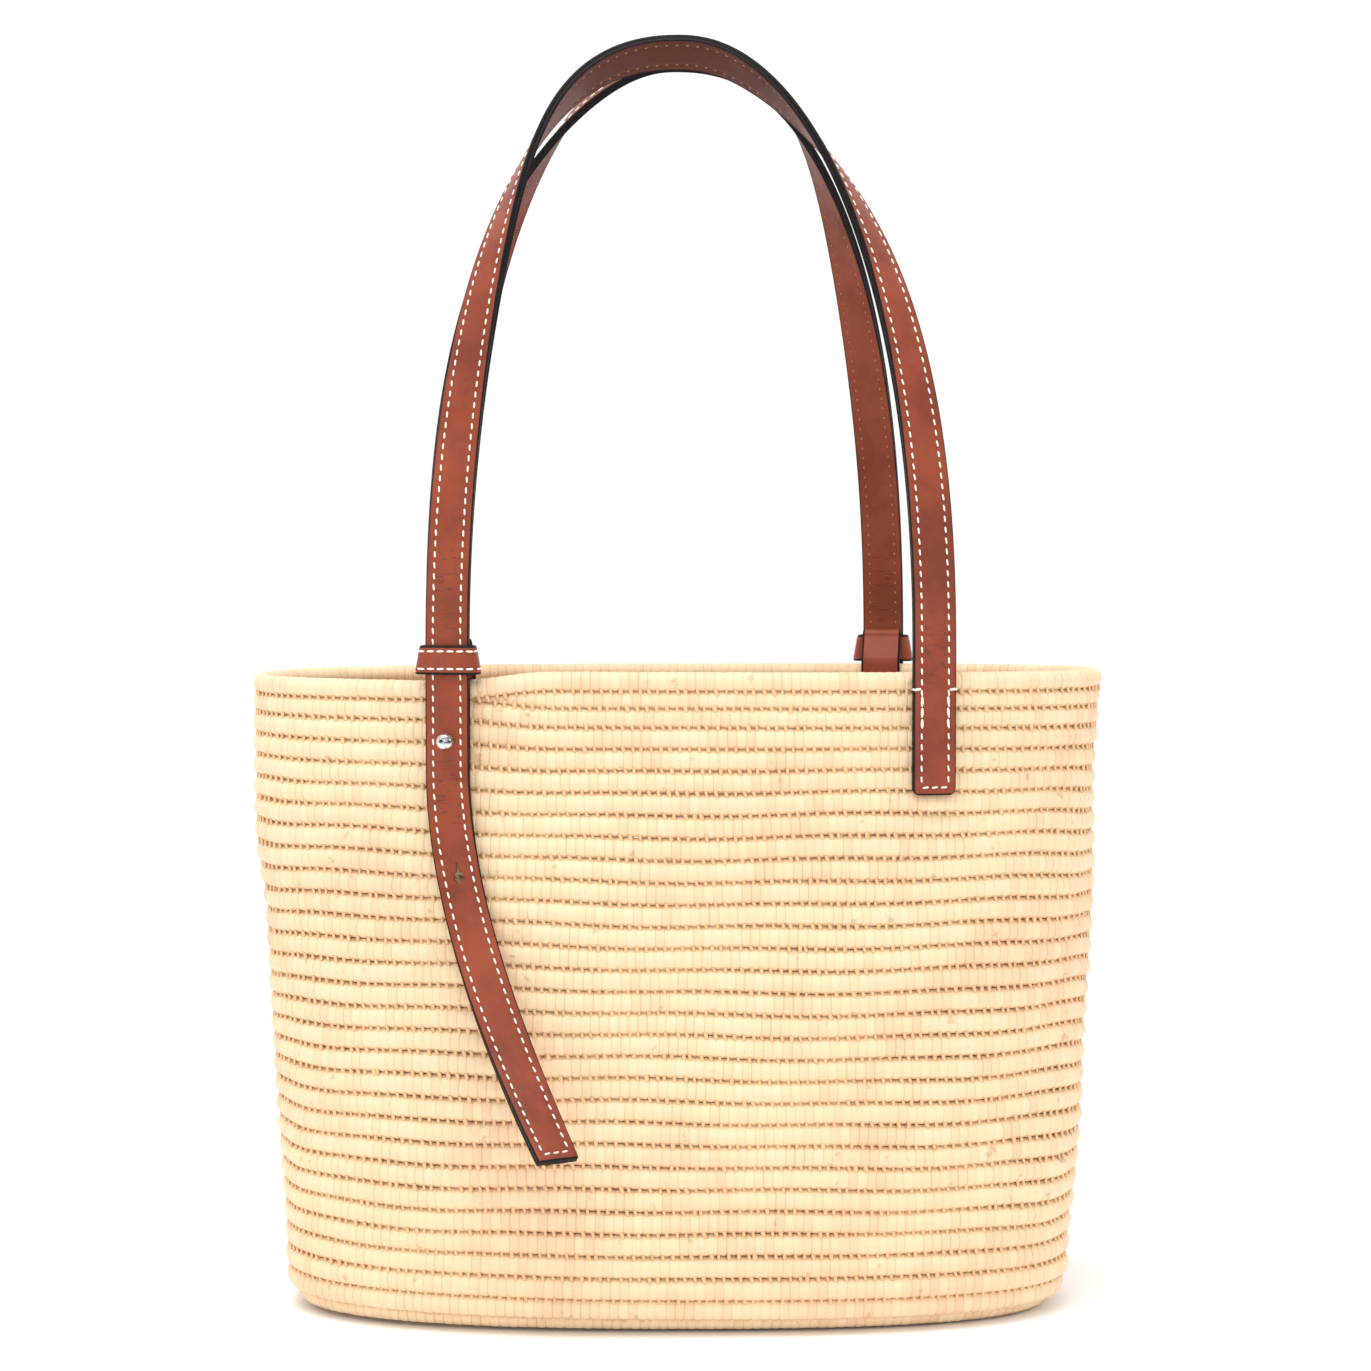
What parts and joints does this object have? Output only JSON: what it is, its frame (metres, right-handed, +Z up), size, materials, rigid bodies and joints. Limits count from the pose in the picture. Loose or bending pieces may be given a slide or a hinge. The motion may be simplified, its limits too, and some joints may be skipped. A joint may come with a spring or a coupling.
{
  "type": "beach bag",
  "caption": "Oval coiled raffia beach bag with an open top and paired leather shoulder straps, each sewn at one end and buttoned on a stud through a keeper at the other.",
  "frame": {"origin": "centre of the base on the ground, midway between the two straps", "axes": "+Z up; +X along the bag's width; -Y towards the front, where the strap's tail is on the -X side"},
  "size_m": [0.379, 0.2644, 0.5644],
  "materials": {
    "raffia": "coiled raffia: straw strands wrapped round a core, cream with tan and pink patches, satin",
    "strap_leather": "smooth saddle-brown calf leather, satin, with near-black painted edges",
    "lining_leather": "matt brown lining leather with a fine grain",
    "thread": "waxed cream thread",
    "polished_steel": "polished, mirror bright"
  },
  "bodies": {
    "basket": {"basket_base": "raffia", "basket_wall": "raffia", "rim_coil": "raffia", "front_sewn_end_face": "strap_leather", "front_sewn_end_lining": "lining_leather", "front_end_patch": "lining_leather", "front_end_stitches": "thread", "front_strap_neck_face": "strap_leather", "front_strap_neck_lining": "lining_leather", "front_keeper": "strap_leather", "front_keeper_stitches": "thread", "front_anchor_tab": "strap_leather", "front_stud": "polished_steel", "front_stud_screw": "polished_steel", "back_sewn_end_face": "strap_leather", "back_sewn_end_lining": "lining_leather", "back_end_patch": "lining_leather", "back_end_stitches": "thread", "back_strap_neck_face": "strap_leather", "back_strap_neck_lining": "lining_leather", "back_keeper": "strap_leather", "back_keeper_stitches": "thread", "back_anchor_tab": "strap_leather", "back_stud": "polished_steel", "back_stud_screw": "polished_steel"},
    "front_handle": {"front_strap_face": "strap_leather", "front_strap_lining": "lining_leather"},
    "front_tail": {"front_tail_face": "strap_leather", "front_tail_lining": "lining_leather"},
    "back_handle": {"back_strap_face": "strap_leather", "back_strap_lining": "lining_leather"},
    "back_tail": {"back_tail_face": "strap_leather", "back_tail_lining": "lining_leather"}
  },
  "joints": [
    {"name": "front_handle_fold", "type": "hinge", "parent": "basket", "child": "front_handle", "pos_m": [-0.09722, -0.07442, 0.31], "axis": [0.9998, 0.0223, 0], "range_deg": [0, 120]},
    {"name": "front_tail_lift", "type": "hinge", "parent": "basket", "child": "front_tail", "pos_m": [-0.09722, -0.07442, 0.24565], "axis": [-0.9867, 0.1626, 0], "range_deg": [0, 45]},
    {"name": "back_handle_fold", "type": "hinge", "parent": "basket", "child": "back_handle", "pos_m": [0.09722, 0.07442, 0.31], "axis": [-0.9998, -0.0223, 0], "range_deg": [0, 120]},
    {"name": "back_tail_lift", "type": "hinge", "parent": "basket", "child": "back_tail", "pos_m": [0.09722, 0.07442, 0.24565], "axis": [0.9867, -0.1626, 0], "range_deg": [0, 45]}
  ]
}
